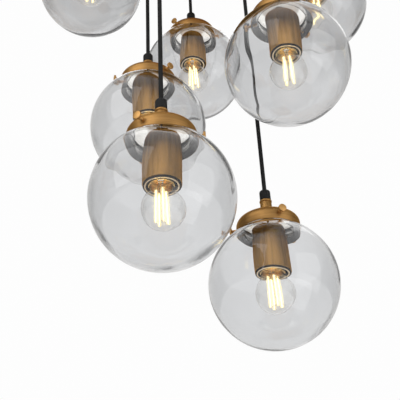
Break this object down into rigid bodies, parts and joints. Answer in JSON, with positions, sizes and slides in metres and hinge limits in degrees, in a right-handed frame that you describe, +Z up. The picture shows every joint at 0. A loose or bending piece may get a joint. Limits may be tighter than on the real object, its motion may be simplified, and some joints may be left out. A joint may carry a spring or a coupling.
{
  "type": "cluster pendant",
  "caption": "Cluster pendant: clear glass globes hang at staggered heights on black cords from one round brass canopy, each held in a brass gallery round a lampholder.",
  "frame": {"origin": "middle of the ceiling bracket's top face, which lies on the ceiling", "axes": "+Z up out of the ceiling face, +Y away from the viewer of the pictured side, +X to that viewer's right"},
  "size_m": [0.4875, 0.4228, 0.795],
  "materials": {
    "brass_canopy": "brushed antique brass",
    "brass_gallery": "brushed antique brass",
    "brass_holder": "brushed antique brass",
    "zinc_steel": "zinc plated",
    "white_plastic": "moulded",
    "black_plastic": "moulded",
    "cord_sheath": "matt sheath",
    "clear_glass": "blown, clear",
    "lamp_glass": "clear",
    "lamp_base": "nickel and warm glow"
  },
  "bodies": {
    "canopy": {"canopy": "brass_canopy", "ceiling_bracket": "zinc_steel", "terminal_block": "white_plastic", "canopy_screw_1": "brass_canopy", "canopy_screw_2": "brass_canopy"},
    "pendant_1": {"cord_1": "cord_sheath", "cord_grip_1": "black_plastic", "gallery_1": "brass_gallery", "lampholder_1": "brass_holder"},
    "globe_1": {"globe_1": "clear_glass"},
    "bulb_1": {"bulb_glass_1": "lamp_glass", "bulb_base_1": "lamp_base"},
    "thumbscrew_1a": {"thumbscrew_1a": "brass_gallery"},
    "thumbscrew_1b": {"thumbscrew_1b": "brass_gallery"},
    "thumbscrew_1c": {"thumbscrew_1c": "brass_gallery"},
    "pendant_2": {"cord_2": "cord_sheath", "cord_grip_2": "black_plastic", "gallery_2": "brass_gallery", "lampholder_2": "brass_holder"},
    "globe_2": {"globe_2": "clear_glass"},
    "bulb_2": {"bulb_glass_2": "lamp_glass", "bulb_base_2": "lamp_base"},
    "thumbscrew_2a": {"thumbscrew_2a": "brass_gallery"},
    "thumbscrew_2b": {"thumbscrew_2b": "brass_gallery"},
    "thumbscrew_2c": {"thumbscrew_2c": "brass_gallery"},
    "pendant_3": {"cord_3": "cord_sheath", "cord_grip_3": "black_plastic", "gallery_3": "brass_gallery", "lampholder_3": "brass_holder"},
    "globe_3": {"globe_3": "clear_glass"},
    "bulb_3": {"bulb_glass_3": "lamp_glass", "bulb_base_3": "lamp_base"},
    "pendant_4": {"cord_4": "cord_sheath", "cord_grip_4": "black_plastic", "gallery_4": "brass_gallery", "lampholder_4": "brass_holder"},
    "globe_4": {"globe_4": "clear_glass"},
    "bulb_4": {"bulb_glass_4": "lamp_glass", "bulb_base_4": "lamp_base"},
    "pendant_5": {"cord_5": "cord_sheath", "cord_grip_5": "black_plastic", "gallery_5": "brass_gallery", "lampholder_5": "brass_holder"},
    "globe_5": {"globe_5": "clear_glass"},
    "bulb_5": {"bulb_glass_5": "lamp_glass", "bulb_base_5": "lamp_base"},
    "pendant_6": {"cord_6": "cord_sheath", "cord_grip_6": "black_plastic", "gallery_6": "brass_gallery", "lampholder_6": "brass_holder"},
    "globe_6": {"globe_6": "clear_glass"},
    "bulb_6": {"bulb_glass_6": "lamp_glass", "bulb_base_6": "lamp_base"},
    "pendant_7": {"cord_7": "cord_sheath", "cord_grip_7": "black_plastic", "gallery_7": "brass_gallery", "lampholder_7": "brass_holder"},
    "globe_7": {"globe_7": "clear_glass"},
    "bulb_7": {"bulb_glass_7": "lamp_glass", "bulb_base_7": "lamp_base"}
  },
  "joints": [
    {"name": "pendant_1_swing", "type": "hinge", "parent": "canopy", "child": "pendant_1", "pos_m": [-0.06275, -0.14783, -0.0403], "axis": [0.5, 0.866, 0], "range_deg": [-5, 5]},
    {"name": "globe_1_drop", "type": "slide", "parent": "pendant_1", "child": "globe_1", "axis": [0, 0, -1], "range_m": [0, 0.125]},
    {"name": "bulb_1_withdraw", "type": "slide", "parent": "pendant_1", "child": "bulb_1", "axis": [0, 0, -1], "range_m": [0, 0.03]},
    {"name": "thumbscrew_1a_back_out", "type": "slide", "parent": "pendant_1", "child": "thumbscrew_1a", "axis": [-0.4848, -0.8746, 0], "range_m": [0, 0.003]},
    {"name": "thumbscrew_1b_back_out", "type": "slide", "parent": "pendant_1", "child": "thumbscrew_1b", "axis": [0.9998, 0.0175, 0], "range_m": [0, 0.003]},
    {"name": "thumbscrew_1c_back_out", "type": "slide", "parent": "pendant_1", "child": "thumbscrew_1c", "axis": [-0.515, 0.8572, 0], "range_m": [0, 0.003]},
    {"name": "pendant_2_swing", "type": "hinge", "parent": "canopy", "child": "pendant_2", "pos_m": [0.05411, -0.00983, -0.0403], "axis": [-0.2588, -0.9659, 0], "range_deg": [-5, 5]},
    {"name": "globe_2_drop", "type": "slide", "parent": "pendant_2", "child": "globe_2", "axis": [0, 0, -1], "range_m": [0, 0.125]},
    {"name": "bulb_2_withdraw", "type": "slide", "parent": "pendant_2", "child": "bulb_2", "axis": [0, 0, -1], "range_m": [0, 0.03]},
    {"name": "thumbscrew_2a_back_out", "type": "slide", "parent": "pendant_2", "child": "thumbscrew_2a", "axis": [0.309, -0.9511, 0], "range_m": [0, 0.003]},
    {"name": "thumbscrew_2b_back_out", "type": "slide", "parent": "pendant_2", "child": "thumbscrew_2b", "axis": [0.6691, 0.7431, 0], "range_m": [0, 0.003]},
    {"name": "thumbscrew_2c_back_out", "type": "slide", "parent": "pendant_2", "child": "thumbscrew_2c", "axis": [-0.9781, 0.2079, 0], "range_m": [0, 0.003]},
    {"name": "pendant_3_swing", "type": "hinge", "parent": "canopy", "child": "pendant_3", "pos_m": [-0.08816, -0.01067, -0.0403], "axis": [1, 0, 0], "range_deg": [-5, 5]},
    {"name": "globe_3_drop", "type": "slide", "parent": "pendant_3", "child": "globe_3", "axis": [0, 0, -1], "range_m": [0, 0.125]},
    {"name": "bulb_3_withdraw", "type": "slide", "parent": "pendant_3", "child": "bulb_3", "axis": [0, 0, -1], "range_m": [0, 0.03]},
    {"name": "pendant_4_swing", "type": "hinge", "parent": "canopy", "child": "pendant_4", "pos_m": [-0.02598, 0.09242, -0.0403], "axis": [0.2588, -0.9659, 0], "range_deg": [-5, 5]},
    {"name": "globe_4_drop", "type": "slide", "parent": "pendant_4", "child": "globe_4", "axis": [0, 0, -1], "range_m": [0, 0.08]},
    {"name": "bulb_4_withdraw", "type": "slide", "parent": "pendant_4", "child": "bulb_4", "axis": [0, 0, -1], "range_m": [0, 0.03]},
    {"name": "pendant_5_swing", "type": "hinge", "parent": "canopy", "child": "pendant_5", "pos_m": [0.08619, -0.11032, -0.0403], "axis": [-0.5, 0.866, 0], "range_deg": [-5, 5]},
    {"name": "globe_5_drop", "type": "slide", "parent": "pendant_5", "child": "globe_5", "axis": [0, 0, -1], "range_m": [0, 0.11]},
    {"name": "bulb_5_withdraw", "type": "slide", "parent": "pendant_5", "child": "bulb_5", "axis": [0, 0, -1], "range_m": [0, 0.03]},
    {"name": "pendant_6_swing", "type": "hinge", "parent": "canopy", "child": "pendant_6", "pos_m": [-0.17045, -0.02305, -0.0403], "axis": [1, 0, 0], "range_deg": [-5, 5]},
    {"name": "globe_6_drop", "type": "slide", "parent": "pendant_6", "child": "globe_6", "axis": [0, 0, -1], "range_m": [0, 0.1]},
    {"name": "bulb_6_withdraw", "type": "slide", "parent": "pendant_6", "child": "bulb_6", "axis": [0, 0, -1], "range_m": [0, 0.03]},
    {"name": "pendant_7_swing", "type": "hinge", "parent": "canopy", "child": "pendant_7", "pos_m": [0.1671, 0.03339, -0.0403], "axis": [0.866, 0.5, 0], "range_deg": [-5, 5]},
    {"name": "globe_7_drop", "type": "slide", "parent": "pendant_7", "child": "globe_7", "axis": [0, 0, -1], "range_m": [0, 0.125]},
    {"name": "bulb_7_withdraw", "type": "slide", "parent": "pendant_7", "child": "bulb_7", "axis": [0, 0, -1], "range_m": [0, 0.03]}
  ]
}
